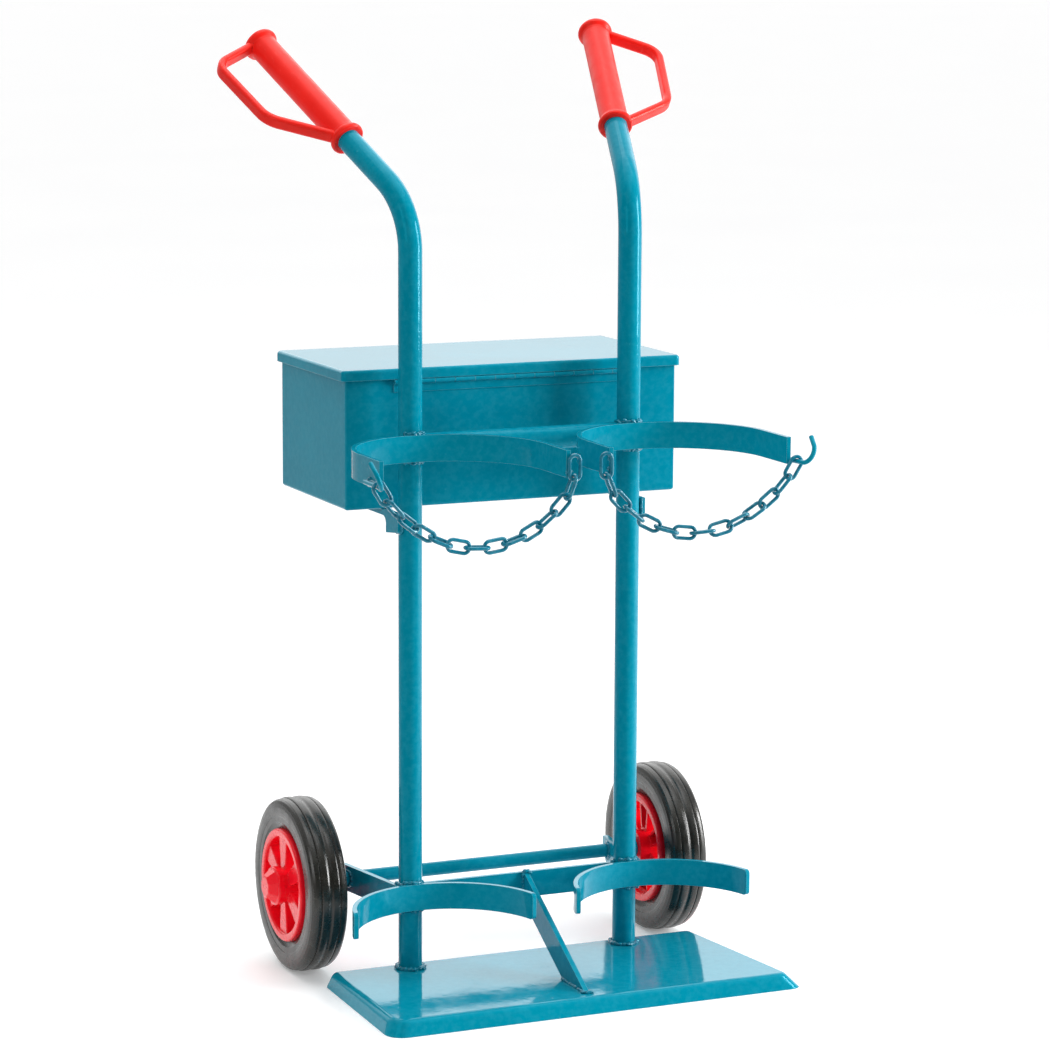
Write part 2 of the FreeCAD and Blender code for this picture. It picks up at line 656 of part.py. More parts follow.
# long pin hinge at the front: knuckles take turns between the two leaves
hx0, hx1 = box_x0 - hinge_half, box_x0 + hinge_half
pitch = (hx1 - hx0) / hinge_knuckles
leaf_z0 = 672.5
box_leaf = [box(hx0, hx1, box_front - 1.2, box_front, leaf_z0, hinge_z - hinge_r - 0.35)]
leaf_y = lid_front + sheet_t
lid_leaf = [box(hx0, hx1, leaf_y, leaf_y + 1.0, hinge_z + hinge_r + 0.35, lid_top - sheet_t - 3.0)]
for i in range(hinge_knuckles):
    x0 = hx0 + i * pitch + (0.0 if i == 0 else 0.2)
    x1 = hx0 + (i + 1) * pitch - (0.0 if i == hinge_knuckles - 1 else 0.2)
    barrel = cyl((x0, hinge_y, hinge_z), (1, 0, 0), hinge_r, x1 - x0)
    if i % 2 == 0:
        box_leaf += [barrel, box(x0, x1, box_front - 1.2, box_front, hinge_z - hinge_r - 1.0, hinge_z)]
    else:
        lid_leaf += [barrel, box(x0, x1, leaf_y, leaf_y + 1.0, hinge_z, hinge_z + hinge_r + 1.0)]
pin_hole = cyl((hx0 - 1, hinge_y, hinge_z), (1, 0, 0), hinge_pin_r, hx1 - hx0 + 2)
lid_hole = cyl((hx0 - 1, hinge_y, hinge_z), (1, 0, 0), hinge_pin_r + 0.08, hx1 - hx0 + 2)
bl = box_leaf[0].fuse(box_leaf[1:]).cut(pin_hole).removeSplitter()
ll = lid_leaf[0].fuse(lid_leaf[1:]).cut(lid_hole).removeSplitter()
save("hinge_leaf_box", bl)
save("hinge_leaf_lid", ll)
save("hinge_pin", cyl((hx0, hinge_y, hinge_z), (1, 0, 0), hinge_pin_r, hx1 - hx0))


# gusset plates that carry the box from the outer side of each upright
def gusset():
    x = upright_x + tube_r
    y_v, y_r = 27.0, 106.0
    zb = box_bottom
    w = Part.Wire([
        Part.LineSegment(V(x, -8, zb), V(x, -8, 520.5)).toShape(),
        Part.LineSegment(V(x, -8, 520.5), V(x, y_v, 516.0)).toShape(),
        Part.LineSegment(V(x, y_v, 516.0), V(x, y_v, 526.5)).toShape(),
        Part.Arc(V(x, y_v, 526.5), V(x, y_v + 2.6, 531.8), V(x, y_v + 9.0, 534.3)).toShape(),
        Part.LineSegment(V(x, y_v + 9.0, 534.3), V(x, y_r, 533.6)).toShape(),
        Part.LineSegment(V(x, y_r, 533.6), V(x, y_r, zb)).toShape(),
        Part.LineSegment(V(x, y_r, zb), V(x, -8, zb)).toShape()])
    return Part.Face(w).extrude(V(gusset_t, 0, 0))


gu = gusset()
save("toolbox_gusset_right", gu)
save("toolbox_gusset_left", mirror_x(gu))
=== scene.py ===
import math
import random

import bpy
import bmesh
from mathutils import Matrix, Vector, noise


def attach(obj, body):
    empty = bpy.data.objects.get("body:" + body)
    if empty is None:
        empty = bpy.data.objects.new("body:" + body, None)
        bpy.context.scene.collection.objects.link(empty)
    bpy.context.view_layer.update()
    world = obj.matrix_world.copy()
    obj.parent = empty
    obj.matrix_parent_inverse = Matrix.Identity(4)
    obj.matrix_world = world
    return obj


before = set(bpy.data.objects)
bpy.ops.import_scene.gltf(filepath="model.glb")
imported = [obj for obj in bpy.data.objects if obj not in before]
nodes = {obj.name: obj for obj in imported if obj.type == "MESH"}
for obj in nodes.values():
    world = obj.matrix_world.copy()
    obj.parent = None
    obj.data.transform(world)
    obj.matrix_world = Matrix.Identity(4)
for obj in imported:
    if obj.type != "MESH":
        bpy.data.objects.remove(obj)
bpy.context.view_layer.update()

# Row frame, metres: +Z up, +Y to the handles and wheels, floor at z = 0.
# The axes of the two uprights stand in the plane y = Y0.
Y0 = -0.02997
TUBE_R = 0.01345
UP_X = 0.134


# ------------------------------------------------------------------ node helpers
class Tree:
    """Small helper round a material's node tree."""

    def __init__(self, name):
        self.mat = bpy.data.materials.new(name)
        self.mat.use_nodes = True
        self.nt = self.mat.node_tree
        self.nt.nodes.clear()
        self.out = self.nt.nodes.new("ShaderNodeOutputMaterial")
        self.bsdf = self.nt.nodes.new("ShaderNodeBsdfPrincipled")
        self.nt.links.new(self.bsdf.outputs[0], self.out.inputs[0])
        self.coord = self.nt.nodes.new("ShaderNodeTexCoord").outputs["Object"]

    def link(self, a, b):
        self.nt.links.new(a, b)

    def put(self, sock, value):
        if isinstance(value, bpy.types.NodeSocket):
            self.nt.links.new(value, sock)
        else:
            sock.default_value = value

    def noise(self, scale, detail=2.0, rough=0.5, coord=None, dist=0.0):
        n = self.nt.nodes.new("ShaderNodeTexNoise")
        n.inputs["Scale"].default_value = scale
        n.inputs["Detail"].default_value = detail
        n.inputs["Roughness"].default_value = rough
        n.inputs["Distortion"].default_value = dist
        self.put(n.inputs["Vector"], coord or self.coord)
        return n.outputs["Fac"]

    def voronoi(self, scale, feature="F1", coord=None, rand=1.0):
        n = self.nt.nodes.new("ShaderNodeTexVoronoi")
        n.feature = feature
        n.inputs["Scale"].default_value = scale
        n.inputs["Randomness"].default_value = rand
        self.put(n.inputs["Vector"], coord or self.coord)
        return n

    def mapped(self, scale=(1, 1, 1), loc=(0, 0, 0), rot=(0, 0, 0)):
        n = self.nt.nodes.new("ShaderNodeMapping")
        n.inputs["Scale"].default_value = scale
        n.inputs["Location"].default_value = loc
        n.inputs["Rotation"].default_value = rot
        self.link(self.coord, n.inputs["Vector"])
        return n.outputs["Vector"]

    def ramp(self, fac, a, b, lo=0.0, hi=1.0):
        n = self.nt.nodes.new("ShaderNodeMapRange")
        n.clamp = True
        self.put(n.inputs["Value"], fac)
        n.inputs["From Min"].default_value = a
        n.inputs["From Max"].default_value = b
        n.inputs["To Min"].default_value = lo
        n.inputs["To Max"].default_value = hi
        return n.outputs["Result"]

    def math(self, op, a, b=0.0, clamp=False):
        n = self.nt.nodes.new("ShaderNodeMath")
        n.operation = op
        n.use_clamp = clamp
        self.put(n.inputs[0], a)
        self.put(n.inputs[1], b)
        return n.outputs[0]

    def vmath(self, op, a, b):
        n = self.nt.nodes.new("ShaderNodeVectorMath")
        n.operation = op
        self.put(n.inputs[0], a)
        self.put(n.inputs[1], b)
        return n.outputs["Value"] if op == "DOT_PRODUCT" else n.outputs["Vector"]

    def mix(self, fac, a, b):
        n = self.nt.nodes.new("ShaderNodeMix")
        n.data_type = "RGBA"
        self.put(n.inputs["Factor"], fac)
        self.put(n.inputs[6], a)
        self.put(n.inputs[7], b)
        return n.outputs[2]

    def bump(self, height, strength, dist, normal=None):
        n = self.nt.nodes.new("ShaderNodeBump")
        n.inputs["Strength"].default_value = strength
        n.inputs["Distance"].default_value = dist
        self.link(height, n.inputs["Height"])
        if normal is not None:
            self.link(normal, n.inputs["Normal"])
        return n.outputs["Normal"]

    def bevel(self, radius):
        n = self.nt.nodes.new("ShaderNodeBevel")
        n.samples = 4
        n.inputs["Radius"].default_value = radius
        return n.outputs["Normal"]

    def edge_mask(self, bevel_normal, gain):
        g = self.nt.nodes.new("ShaderNodeNewGeometry")
        d = self.vmath("DOT_PRODUCT", bevel_normal, g.outputs["Normal"])
        return self.math("MULTIPLY", self.math("SUBTRACT", 1.0, d), gain, clamp=True)

    def separate(self, vec=None):
        n = self.nt.nodes.new("ShaderNodeSeparateXYZ")
        self.put(n.inputs[0], vec or self.coord)
        return n.outputs


def rgb(r, g, b):
    """sRGB 0..255 to linear."""
    out = []
    for c in (r, g, b):
        c /= 255.0
        out.append(c / 12.92 if c <= 0.04045 else ((c + 0.055) / 1.055) ** 2.4)
    return (*out, 1.0)


def painted(name, base, dark, light, peel=1.0, edge_r=0.0008, speck=1.0, coat=0.0, rough=0.0):
    """Thick sprayed gloss enamel: orange peel, dust nibs, and pale edges that are partly thin paint and partly a
    painted edge highlight.
    """
    t = Tree(name)
    b = t.bsdf
    bev = t.bevel(edge_r)
    edge_tone_and_highlight = t.edge_mask(bev, 5.0)
    cloud = t.ramp(t.noise(6.0, 3.0, 0.55), 0.35, 0.68)
    fine = t.ramp(t.noise(140.0, 3.0, 0.6), 0.40, 0.64)
    col = t.mix(t.math("MULTIPLY", cloud, 0.55), base, dark)
    col = t.mix(t.math("MULTIPLY", fine, 0.16), col, light)
    # dust nibs caught in the paint
    vor = t.voronoi(95.0)
    pick = t.ramp(t.noise(41.0, 1.0, 0.4), 0.60, 0.66)
    nib = t.math("MULTIPLY", t.ramp(vor.outputs["Distance"], 0.05, 0.16, 1.0, 0.0), pick)
    nib = t.math("MULTIPLY", nib, speck)
    col = t.mix(t.math("MULTIPLY", nib, 0.35), col, light)
    # edges paler: thinner paint over the edges, and a painted edge highlight
    col = t.mix(t.math("MULTIPLY", edge_tone_and_highlight, 0.75), col, rgb(126, 196, 210))
    t.put(b.inputs["Base Color"], col)
    wear = t.ramp(t.noise(26.0, 4.0, 0.6), 0.42, 0.72, 0.06 + rough, 0.14 + rough)
    t.put(b.inputs["Roughness"], t.math("ADD", wear, t.math("MULTIPLY", edge_tone_and_highlight, 0.08)))
    b.inputs["IOR"].default_value = 1.45
    b.inputs["Specular IOR Level"].default_value = 0.34
    b.inputs["Specular Tint"].default_value = (0.02, 0.55, 0.72, 1.0)
    b.inputs["Coat Weight"].default_value = coat
    b.inputs["Coat Roughness"].default_value = 0.03
    b.inputs["Coat IOR"].default_value = 1.4
    # orange peel in two sizes, then the nibs
    p1 = t.noise(260.0, 1.0, 0.4)
    p2 = t.noise(75.0, 1.0, 0.4)
    n = t.bump(p2, 0.10 * peel, 0.0012, bev)
    n = t.bump(p1, 0.10 * peel, 0.0004, n)
    n = t.bump(nib, 0.5, 0.0004, n)
    t.put(b.inputs["Normal"], n)
    t.put(b.inputs["Coat Normal"], n)
    return t.mat


TEAL = rgb(0, 138, 162)
TEAL_D = rgb(0, 122, 146)
TEAL_L = rgb(60, 168, 188)
paint = painted("enamel_teal", TEAL, TEAL_D, TEAL_L)
paint_flat = painted("enamel_teal_sheet", TEAL, TEAL_D, TEAL_L, peel=0.55, edge_r=0.0012, speck=0.7)
paint_weld = painted("enamel_teal_weld", TEAL_D, rgb(0, 96, 120), TEAL_L, peel=1.0, edge_r=0.0003, coat=0.8)
paint_chain = painted("enamel_teal_chain", rgb(0, 116, 142), rgb(0, 84, 106), rgb(110, 190, 205), peel=0.7,
                      edge_r=0.0003, speck=1.0, coat=0.9)


def moulded_rubber():
    """Solid tyre: brown-black rubber, turned mould lines, bloom and dust."""
    t = Tree("tyre_rubber")
    b = t.bsdf
    s = t.separate()
    # radius from the axle, for rings that follow the mould
    dy = t.math("SUBTRACT", s[1], 0.1075 + Y0)
    dz = t.math("SUBTRACT", s[2], 0.1)
    r = t.math("SQRT", t.math("ADD", t.math("MULTIPLY", dy, dy), t.math("MULTIPLY", dz, dz)))
    rings = t.math("SINE", t.math("MULTIPLY", r, 5200.0))
    side = t.math("SINE", t.math("MULTIPLY", s[0], 4300.0))
    bloom = t.ramp(t.noise(34.0, 4.0, 0.6), 0.42, 0.75)
    fine = t.noise(620.0, 3.0, 0.6)
    col = t.mix(bloom, rgb(24, 25, 22), rgb(42, 41, 35))
    dust = t.ramp(t.noise(210.0, 2.0, 0.5), 0.64, 0.76)
    col = t.mix(t.math("MULTIPLY", dust, 0.22), col, rgb(96, 92, 84))
    t.put(b.inputs["Base Color"], col)
    t.put(b.inputs["Roughness"], t.ramp(t.noise(55.0, 4.0, 0.65), 0.35, 0.7, 0.20, 0.36))
    b.inputs["Specular IOR Level"].default_value = 0.55
    bev = t.bevel(0.0006)
    n = t.bump(rings, 0.07, 0.00010, bev)
    n = t.bump(side, 0.06, 0.00010, n)
    n = t.bump(fine, 0.10, 0.00020, n)
    t.put(b.inputs["Normal"], n)
    return t.mat


def moulded_plastic(name, base, dark, light, rough, grain, grain_depth, sss=0.0, coat=0.0,
                    tint=(1.0, 1.0, 1.0, 1.0)):
    """Injection-moulded plastic with slight flow marks, grain, and lighter edges that are partly rubbed and partly a
    painted edge highlight.
    """
    t = Tree(name)
    b = t.bsdf
    bev = t.bevel(0.0008)
    edge_tone_and_highlight = t.edge_mask(bev, 4.0)
    flow = t.ramp(t.noise(18.0, 3.0, 0.55, dist=1.2), 0.35, 0.68)
    col = t.mix(t.math("MULTIPLY", flow, 0.6), base, dark)
    scuff = t.ramp(t.noise(1.0, 3.0, 0.6, coord=t.mapped((260.0, 60.0, 90.0))), 0.60, 0.74)
    col = t.mix(t.math("MULTIPLY", scuff, 0.12), col, light)
    # edges paler: rubbed plastic, and a painted edge highlight
    col = t.mix(t.math("MULTIPLY", edge_tone_and_highlight, 0.35), col, light)
    t.put(b.inputs["Base Color"], col)
    t.put(b.inputs["Roughness"], t.ramp(t.noise(70.0, 3.0, 0.6), 0.35, 0.7, rough - 0.06, rough + 0.08))
    b.inputs["Specular IOR Level"].default_value = 0.5
    b.inputs["Specular Tint"].default_value = tint
    b.inputs["Coat Weight"].default_value = coat
    b.inputs["Coat Roughness"].default_value = 0.08
    if sss:
        b.inputs["Subsurface Weight"].default_value = sss
        b.inputs["Subsurface Radius"].default_value = (0.006, 0.0015, 0.001)
        b.inputs["Subsurface Scale"].default_value = 0.4
    n = t.bump(t.noise(grain, 2.0, 0.5), grain_depth, 0.0003, bev)
    n = t.bump(t.noise(60.0, 1.0, 0.4), 0.06, 0.0008, n)
    t.put(b.inputs["Normal"], n)
    return t.mat


def steel(name, base, rough, scale=(40.0, 900.0, 900.0)):
    """Turned or drawn bare steel with fine lines and a dull oxide."""
    t = Tree(name)
    b = t.bsdf
    bev = t.bevel(0.0004)
    lines = t.noise(1.0, 3.0, 0.6, coord=t.mapped(scale))
    oxide = t.ramp(t.noise(90.0, 4.0, 0.6), 0.42, 0.7)
    col = t.mix(oxide, base, tuple(c * 0.62 for c in base[:3]) + (1.0,))
    t.put(b.inputs["Base Color"], col)
    b.inputs["Metallic"].default_value = 1.0
    t.put(b.inputs["Roughness"], t.ramp(lines, 0.3, 0.7, rough - 0.07, rough + 0.1))
    t.put(b.inputs["Normal"], t.bump(lines, 0.12, 0.0002, bev))
    return t.mat


rubber = moulded_rubber()
red_rim = moulded_plastic("rim_red", rgb(248, 20, 40), rgb(232, 10, 28), rgb(255, 96, 100), 0.26, 420.0, 0.04,
                          coat=0.25, tint=(1.0, 0.15, 0.15, 1.0))
red_grip = moulded_plastic("grip_red", rgb(246, 38, 30), rgb(236, 28, 22), rgb(255, 120, 104), 0.40, 700.0, 0.12,
                           coat=0.1, tint=(1.0, 0.2, 0.15, 1.0))
nylon = moulded_plastic("bush_nylon", rgb(214, 212, 200), rgb(196, 192, 178), rgb(236, 234, 226), 0.4, 300.0, 0.05)
spring = steel("spring_steel", rgb(92, 92, 96), 0.34)

MATERIAL = {}
for n in nodes:
    if n.startswith(("tyre",)):
        MATERIAL[n] = rubber
    elif n.startswith(("wheel_rim", "hub_cap")):
        MATERIAL[n] = red_rim
    elif n.startswith("grip"):
        MATERIAL[n] = red_grip
    elif n.startswith("wheel_bush"):
        MATERIAL[n] = nylon
    elif n.startswith("axle_lock"):
        MATERIAL[n] = spring
    elif n.startswith("chain_left") or n.startswith("chain_right") or n.startswith("chain_anchor"):
        MATERIAL[n] = paint_chain
    elif n in ("base_plate", "toolbox_body", "toolbox_lid"):
        MATERIAL[n] = paint_flat
    else:
        MATERIAL[n] = paint
for n, m in MATERIAL.items():
    o = nodes[n]
    o.data.materials.clear()
    o.data.materials.append(m)


# ------------------------------------------------------------------ weld beads
rng = random.Random(7)


def tube_along(bm, pts, radius_at, sides=10, closed=False, squash=None):
    """Adds a closed tube through pts to bm; radius_at(i) gives each ring's radius."""
    n = len(pts)
    rings = []
    prev = None
    for i, p in enumerate(pts):
        if closed:
            t = (pts[(i + 1) % n] - pts[i - 1]).normalized()
        else:
            t = (pts[min(i + 1, n - 1)] - pts[max(i - 1, 0)]).normalized()
        if prev is None:
            a = t.orthogonal().normalized()
        else:
            a = (prev - t * prev.dot(t)).normalized()
        prev = a
        b = t.cross(a)
        r = radius_at(i)
        rings.append([bm.verts.new(p + (a * math.cos(q) + b * math.sin(q)) * r)
                      for q in (2 * math.pi * k / sides for k in range(sides))])
    last = n if closed else n - 1
    for i in range(last):
        u, v = rings[i], rings[(i + 1) % n]
        shift = 0
        if closed and i == n - 1:
            # the frame may have turned a little on the way round
            best = min(range(sides), key=lambda s: sum((u[k].co - v[(k + s) % sides].co).length
                                                       for k in range(0, sides, 3)))
            shift = best
        for k in range(sides):
            bm.faces.new((u[k], u[(k + 1) % sides], v[(k + 1 + shift) % sides], v[(k + shift) % sides]))
    if not closed:
        for ring, flip, t in ((rings[0], True, -1), (rings[-1], False, 1)):
            c = sum((v.co for v in ring), Vector()) / sides
            inner = (pts[1] - pts[0]) if flip else (pts[-1] - pts[-2])
            tip = bm.verts.new(c + inner.normalized() * (radius_at(0) * 0.55 * t))
            for k in range(sides):
                f = (ring[(k + 1) % sides], ring[k], tip) if flip else (ring[k], ring[(k + 1) % sides], tip)
                bm.faces.new(f)


def resample(pts, step, closed=False):
    src = [Vector(p) for p in pts]
    if closed:
        src = src + [src[0]]
    out = []
    left = 0.0
    for a, b in zip(src, src[1:]):
        length = (b - a).length
        s = left
        while s < length:
            out.append(a.lerp(b, s / length))
            s += step
        left = s - length
    if not closed:
        out.append(src[-1])
    return out


def weld(bm, pts, r, closed=False, pitch=None, lump=0.26):
    """A hand-laid weld: a lumpy bead of overlapping scallops."""
    step = r * 0.30
    pitch = pitch or r * 1.7
    p = resample(pts, step, closed)
    if len(p) < 4:
        return
    seed = rng.uniform(0, 90)
    for i, q in enumerate(p):
        j = noise.noise_vector(q * 230.0 + Vector((seed, 0, 0)))
        p[i] = q + j * (r * 0.30)

    def rad(i):
        s = i * step / pitch
        ripple = abs(math.sin(math.pi * s))
        wob = noise.noise(Vector((s * 0.9, seed, 0.0)))
        return r * (0.74 + lump * ripple + 0.34 * wob)
    tube_along(bm, p, rad, sides=12, closed=closed)


def ring_points(c, axis, r, n=48, a0=0.0, a1=2 * math.pi):
    axis = Vector(axis).normalized()
    u = axis.orthogonal().normalized()
    if abs(axis.z) > 0.9:
        u = Vector((1, 0, 0))
    v = axis.cross(u)
    full = abs(a1 - a0 - 2 * math.pi) < 1e-6
    m = n if full else n + 1
    return [Vector(c) + u * math.cos(a0 + (a1 - a0) * k / n) * r + v * math.sin(a0 + (a1 - a0) * k / n) * r
            for k in range(m)]


def finish_mesh(name, bm, mat, body):
    me = bpy.data.meshes.new(name)
    bmesh.ops.recalc_face_normals(bm, faces=bm.faces)
    bm.normal_update()
    for v in bm.verts:
        v.co += v.normal * noise.noise(v.co * 420.0) * 0.00042
    bm.to_mesh(me)
    bm.free()
    for f in me.polygons:
        f.use_smooth = True
    me.materials.append(mat)
    o = bpy.data.objects.new(name, me)
    bpy.context.scene.collection.objects.link(o)
    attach(o, body)
    return o


def globs(bm, centres, r):
    """Spatter and end craters: small flattened drops."""
    for c in centres:
        q = r * rng.uniform(0.6, 1.15)
        m = Matrix.Translation(c) @ Matrix.Diagonal((q, q, q * rng.uniform(0.6, 1.0), 1.0))
        bmesh.ops.create_icosphere(bm, subdivisions=2, radius=1.0, matrix=m)


for side, sx in (("left", -1), ("right", 1)):
    ux = sx * UP_X
    # foot of the upright on the plate
    bm = bmesh.new()
    weld(bm, ring_points((ux, Y0, 0.0190), (0, 0, 1), TUBE_R + 0.0010, 60), 0.0032, closed=True, lump=0.36)
    globs(bm, [Vector((ux + 0.0160 * math.cos(a), Y0 + 0.0160 * math.sin(a), 0.0200))
               for a in (-2.9, -2.3, -1.7, -1.0, -0.35, 0.15, 1.2, 2.4)], 0.0034)
    finish_mesh("weld_foot_" + side, bm, paint_weld, "frame")
    # hoop and cradle against the front of the upright, above and below the bar
    for what, z0 in (("hoop", 0.6005), ("cradle", 0.089)):
        bm = bmesh.new()
        yb = Y0 - TUBE_R
        for z, up in ((z0 + 0.030, 1), (z0, -1)):
            arc = [Vector((ux + q, Y0 - math.sqrt(max(TUBE_R ** 2 - q * q, 0.0)) - 0.0006, z + up * 0.0006))
                   for q in [k * 0.0011 for k in range(-10, 11)]]
            weld(bm, arc, 0.0028, lump=0.34)
            globs(bm, [arc[1] + Vector((0, -0.0006, up * 0.0014)), arc[8] + Vector((0, -0.0010, up * 0.0016)),
                       arc[-3] + Vector((0, -0.0004, up * 0.0012))], 0.0030)
        for s in (-1, 1):
            x = ux + s * 0.0062
            y = yb + 0.0010
            weld(bm, [(x, y, z0 + 0.001), (x, y, z0 + 0.015), (x, y, z0 + 0.029)], 0.0021)
        finish_mesh("weld_%s_%s" % (what, side), bm, paint_weld, "frame")
    # fixed chain link on the inner end of the hoop, hook on the outer end
    bm = bmesh.new()
    ye = Y0 - (TUBE_R + 0.111) - 0.060
    xi = ux - sx * 0.1085
    weld(bm, [(xi - sx * 0.0035, ye + 0.0002, 0.6180), (xi + sx * 0.0006, ye + 0.0002, 0.6215)], 0.0022)
    weld(bm, [(xi - sx * 0.0035, ye + 0.0002, 0.6085), (xi + sx * 0.0006, ye + 0.0002, 0.6055)], 0.0019)
    globs(bm, [Vector((xi - sx * 0.0020, ye - 0.0002, 0.6225)), Vector((xi + sx * 0.0012, ye - 0.0002, 0.6065))], 0.0022)
    xo = sx * (UP_X + 0.111)
    for zz in (0.6066, 0.6016):
        weld(bm, [(xo + sx * 0.0007, ye + 0.030, zz), (xo + sx * 0.0007, ye + 0.019, zz),
                  (xo + sx * 0.0007, ye + 0.008, zz)], 0.0018)
    globs(bm, [Vector((xo + sx * 0.0010, ye + 0.0315, 0.6055)), Vector((xo + sx * 0.0008, ye + 0.0250, 0.6085))], 0.0024)
    finish_mesh("weld_hook_" + side, bm, paint_weld, "frame")
    # axle bracket along the upright, axle through the bracket
    bm = bmesh.new()
    a = math.radians(8.0)
    e = Vector((sx * math.sin(a), math.cos(a), 0))
    n = Vector((sx * math.cos(a), -math.sin(a), 0))
    base = Vector((ux, Y0, 0))
    for t in (TUBE_R + 0.0008,):
        for z in (0.1165 + 0.0006, 0.0865 - 0.0006):
            weld(bm, [base + e * s + n * t + Vector((0, 0, z)) for s in (-0.0075, 0.0, 0.0075)], 0.0025)
    q = base + e * -0.008 + n * (TUBE_R + 0.0005)
    weld(bm, [q + Vector((0, 0, 0.089)), q + Vector((0, 0, 0.101)), q + Vector((0, 0, 0.1145))], 0.0020)
    s_axle = (0.1075) / math.cos(a)
    for t in (TUBE_R, TUBE_R + 0.006):
        p = base + e * s_axle + n * t
        u = e
        ringp = [p + (u * math.cos(k * math.pi / 18) + Vector((0, 0, 1)) * math.sin(k * math.pi / 18)) * 0.0090
                 for k in range(36)]
        for k, c in enumerate(ringp):
            ringp[k] = Vector((c.x, c.y, 0.1 + (c.z - p.z)))
        weld(bm, ringp, 0.0021, closed=True)
    finish_mesh("weld_axle_" + side, bm, paint_weld, "frame")
    # upper cross tube into the upright
    bm = bmesh.new()
    rr = []
    for k in range(48):
        q = 2 * math.pi * k / 48
        y, z = 0.0141 * math.cos(q), 0.0141 * math.sin(q)
        dx = math.sqrt(max(TUBE_R ** 2 - min(abs(y), TUBE_R) ** 2, 0.0))
        rr.append(Vector((ux - sx * (dx + 0.0008), Y0 + y, 0.6165 + z)))
    weld(bm, rr, 0.0024, closed=True)
    # lower cross bar into the upright
    for yy in (-0.0029, 0.0029):
        x = ux - sx * 0.0138
        weld(bm, [(x, Y0 + yy, 0.087), (x, Y0 + yy, 0.101), (x, Y0 + yy, 0.115)], 0.0022)
    weld(bm, [(ux - sx * 0.0138, Y0 - 0.003, 0.1165), (ux - sx * 0.0142, Y0 + 0.003, 0.1165)], 0.0023)
    finish_mesh("weld_cross_" + side, bm, paint_weld, "frame")
    # gusset plate on the upright and under the box
    bm = bmesh.new()
    x = ux + sx * (TUBE_R + 0.0002)
    weld(bm, [(x, Y0 - 0.0078, 0.5215), (x, Y0 - 0.0078, 0.5315), (x, Y0 - 0.0078, 0.5415)], 0.0020)
    weld(bm, [(x + sx * 0.001, Y0 - 0.0078, 0.5204), (x + sx * 0.001, Y0 - 0.002, 0.5198),
              (x + sx * 0.0005, Y0 + 0.004, 0.5190)], 0.0019)
    for s in (-0.0003, 0.0053):
        weld(bm, [(x + sx * s, Y0 + 0.036, 0.5417), (x + sx * s, Y0 + 0.070, 0.5417), (x + sx * s, Y0 + 0.104, 0.5417)],
             0.0017)
    finish_mesh("weld_gusset_" + side, bm, paint_weld, "frame")

# diagonal brace: on the cross bar and on the plate
bm = bmesh.new()
for x in (0.0045, 0.0115):
    weld(bm, [(x, Y0 - 0.1710, 0.0188), (x, Y0 - 0.142, 0.0188), (x, Y0 - 0.113, 0.0188)], 0.0022)
    weld(bm, [(x, Y0 - 0.0031, 0.083), (x, Y0 - 0.0031, 0.099), (x, Y0 - 0.0031, 0.1155)], 0.0022)
weld(bm, [(0.0045, Y0 - 0.1722, 0.0188), (0.008, Y0 - 0.1730, 0.0190), (0.0115, Y0 - 0.1722, 0.0188)], 0.0027)
weld(bm, [(0.0045, Y0 - 0.1112, 0.0192), (0.008, Y0 - 0.1106, 0.0194), (0.0115, Y0 - 0.1112, 0.0192)], 0.0026)
weld(bm, [(0.0040, Y0 - 0.0030, 0.1168), (0.008, Y0 - 0.0034, 0.1171), (0.0120, Y0 - 0.0030, 0.1168)], 0.0026)
globs(bm, [Vector((0.0130, Y0 - 0.174, 0.0192)), Vector((0.0030, Y0 - 0.116, 0.0190)),
           Vector((0.0130, Y0 - 0.118, 0.0190)), Vector((0.0030, Y0 - 0.170, 0.0192)),
           Vector((0.0036, Y0 - 0.0046, 0.113)), Vector((0.0124, Y0 - 0.0042, 0.1150))], 0.0027)
finish_mesh("weld_brace", bm, paint_weld, "frame")


# ------------------------------------------------------------------ floor, light, camera
def floor():
    me = bpy.data.meshes.new("floor")
    bm = bmesh.new()
    bmesh.ops.create_grid(bm, x_segments=2, y_segments=2, size=60.0)
    bm.to_mesh(me)
    bm.free()
    o = bpy.data.objects.new("floor", me)
    bpy.context.scene.collection.objects.link(o)
    # pale floor behind and beside the cart, with a faint even glow; further out to the left and in front, outside the
    # camera's view, the floor is grey as painted shade that darkens what the cart reflects and the light bounced up
    # onto it
    t = Tree("floor_pale")
    b = t.bsdf
    p = t.separate()
    ahead = t.math("ADD", t.math("MULTIPLY", p[0], 0.408), t.math("MULTIPLY", p[1], 0.913))
    side = t.math("SUBTRACT", p[0], t.math("MULTIPLY", p[1], 0.29))
    white = t.math("MULTIPLY", t.ramp(ahead, -0.62, -0.37), t.ramp(side, -1.35, -0.85))
    col = t.mix(t.ramp(t.noise(1.4, 2.0, 0.5), 0.35, 0.7), (0.90, 0.90, 0.90, 1.0), (0.88, 0.88, 0.885, 1.0))
    # painted shade: the grey floor out of view darkens the reflections and bounce light on the cart's left and front
    # faces
    col = t.mix(white, (0.50, 0.50, 0.505, 1.0), col)
    t.put(b.inputs["Base Color"], col)
    b.inputs["Roughness"].default_value = 0.85
    b.inputs["Specular IOR Level"].default_value = 0.1
    t.put(b.inputs["Emission Color"], t.mix(white, (0.0, 0.0, 0.0, 1.0), (1.0, 1.0, 1.0, 1.0)))
    b.inputs["Emission Strength"].default_value = 0.22
    me.materials.append(t.mat)


floor()

world = bpy.data.worlds.new("studio")
bpy.context.scene.world = world
world.use_nodes = True
wt = world.node_tree
wt.nodes.clear()
wo = wt.nodes.new("ShaderNodeOutputWorld")
bg = wt.nodes.new("ShaderNodeBackground")
tc = wt.nodes.new("ShaderNodeTexCoord")
sep = wt.nodes.new("ShaderNodeSeparateXYZ")
wt.links.new(tc.outputs["Generated"], sep.inputs[0])
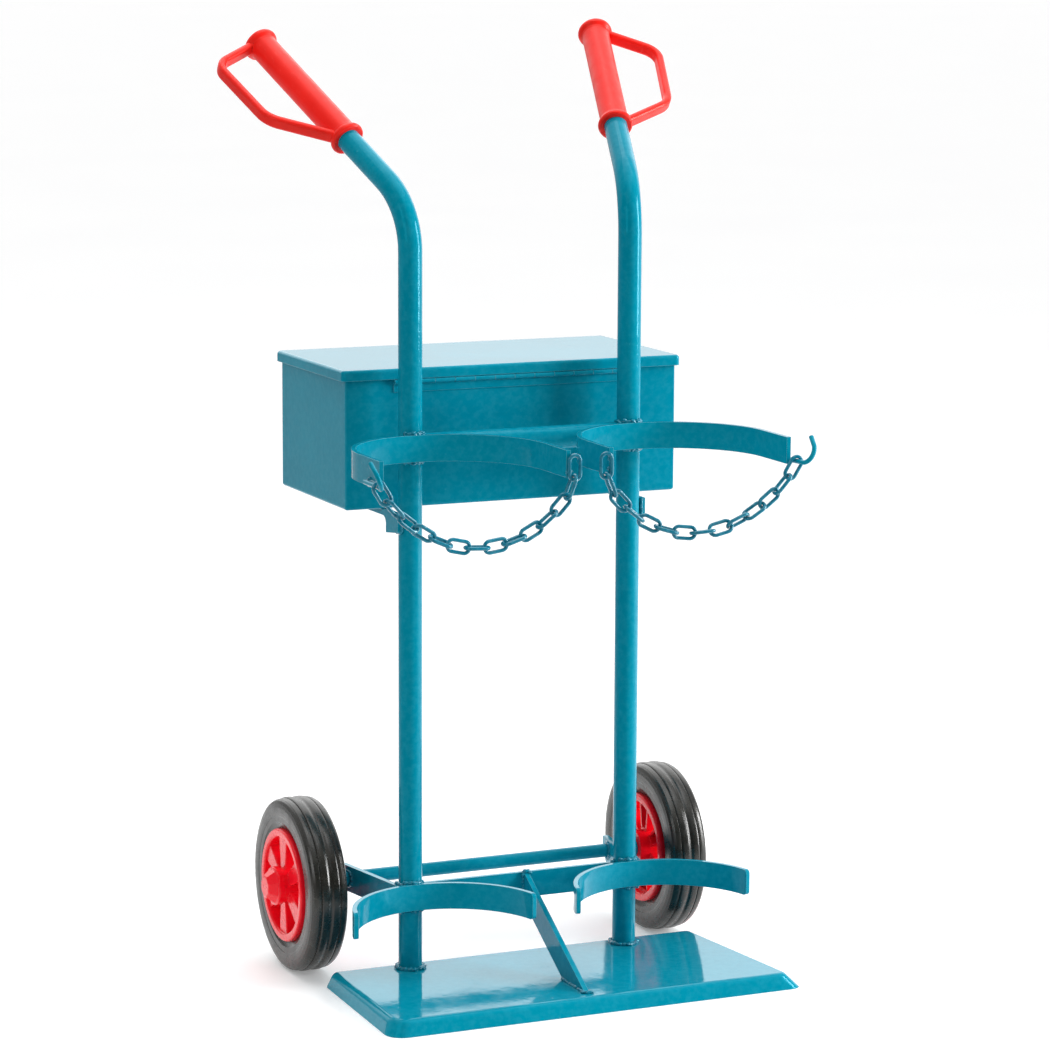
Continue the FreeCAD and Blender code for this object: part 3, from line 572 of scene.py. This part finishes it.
# bright behind the object (+Y) and overhead, dark on the side that faces it
def world_range(sock, a, b, lo, hi):
    n = wt.nodes.new("ShaderNodeMapRange")
    n.interpolation_type = "SMOOTHSTEP"
    n.inputs["From Min"].default_value = a
    n.inputs["From Max"].default_value = b
    n.inputs["To Min"].default_value = lo
    n.inputs["To Max"].default_value = hi
    wt.links.new(sock, n.inputs["Value"])
    return n.outputs["Result"]


# the backdrop is brighter higher up
height = world_range(sep.outputs[2], 0.06, 0.27, 1.0, 2.15)
across = world_range(sep.outputs[0], -0.45, -0.05, 0.35, 1.0)
behind = world_range(sep.outputs[1], 0.05, 0.60, 0.05, 1.0)
lift = wt.nodes.new("ShaderNodeMath")
lift.operation = "MULTIPLY"
wt.links.new(behind, lift.inputs[0])
wt.links.new(height, lift.inputs[1])
shade = wt.nodes.new("ShaderNodeMath")
shade.operation = "MULTIPLY"
wt.links.new(lift.outputs[0], shade.inputs[0])
wt.links.new(across, shade.inputs[1])
behind = shade.outputs[0]
above = world_range(sep.outputs[2], 0.45, 0.95, 0.0, 0.9)
top = wt.nodes.new("ShaderNodeMath")
top.operation = "MAXIMUM"
wt.links.new(behind, top.inputs[0])
wt.links.new(above, top.inputs[1])
wt.links.new(top.outputs[0], bg.inputs["Strength"])
bg.inputs["Color"].default_value = (1.0, 1.0, 1.0, 1.0)
wt.links.new(bg.outputs[0], wo.inputs[0])


def area(name, loc, target, size, power, size_y=None):
    d = bpy.data.lights.new(name, "AREA")
    d.shape = "RECTANGLE"
    d.size = size
    d.size_y = size_y or size
    d.energy = power
    o = bpy.data.objects.new(name, d)
    bpy.context.scene.collection.objects.link(o)
    o.location = loc
    o.rotation_mode = "QUATERNION"
    o.rotation_quaternion = (Vector(target) - Vector(loc)).to_track_quat("-Z", "Y")
    return o


area("soft_right", (3.1, -1.35, 1.3), (0, 0, 0.45), 1.0, 135.0, 2.0)
area("soft_left", (-2.6, -1.9, 1.8), (0, 0, 0.45), 1.4, 24.0, 1.8)
area("soft_top", (0.2, -0.2, 3.2), (0, 0, 0.4), 2.4, 34.0)

cam_data = bpy.data.cameras.new("camera")
cam = bpy.data.objects.new("camera", cam_data)
bpy.context.scene.collection.objects.link(cam)
bpy.context.scene.camera = cam
cam_data.sensor_width = 36.0
AZ, PITCH, ROLL = 0.4200, 0.16510, 0.0049
cam_data.lens = 3764.39 / 1050.0 * 36.0
cam_data.clip_start, cam_data.clip_end = 0.1, 200.0
d = Vector((math.sin(AZ) * math.cos(PITCH), math.cos(AZ) * math.cos(PITCH), -math.sin(PITCH)))
r = Vector((math.cos(AZ), -math.sin(AZ), 0.0))
u = r.cross(d)
r2 = r * math.cos(ROLL) + u * math.sin(ROLL)
u2 = u * math.cos(ROLL) - r * math.sin(ROLL)
m = Matrix((r2, u2, -d)).transposed().to_4x4()
m.translation = Vector((-1.70308, -3.82692 + Y0, 1.21674))
cam.matrix_world = m

view = bpy.context.scene.view_settings
view.view_transform = "Standard"
view.look = "None"
view.exposure = 0.0
view.gamma = 1.0
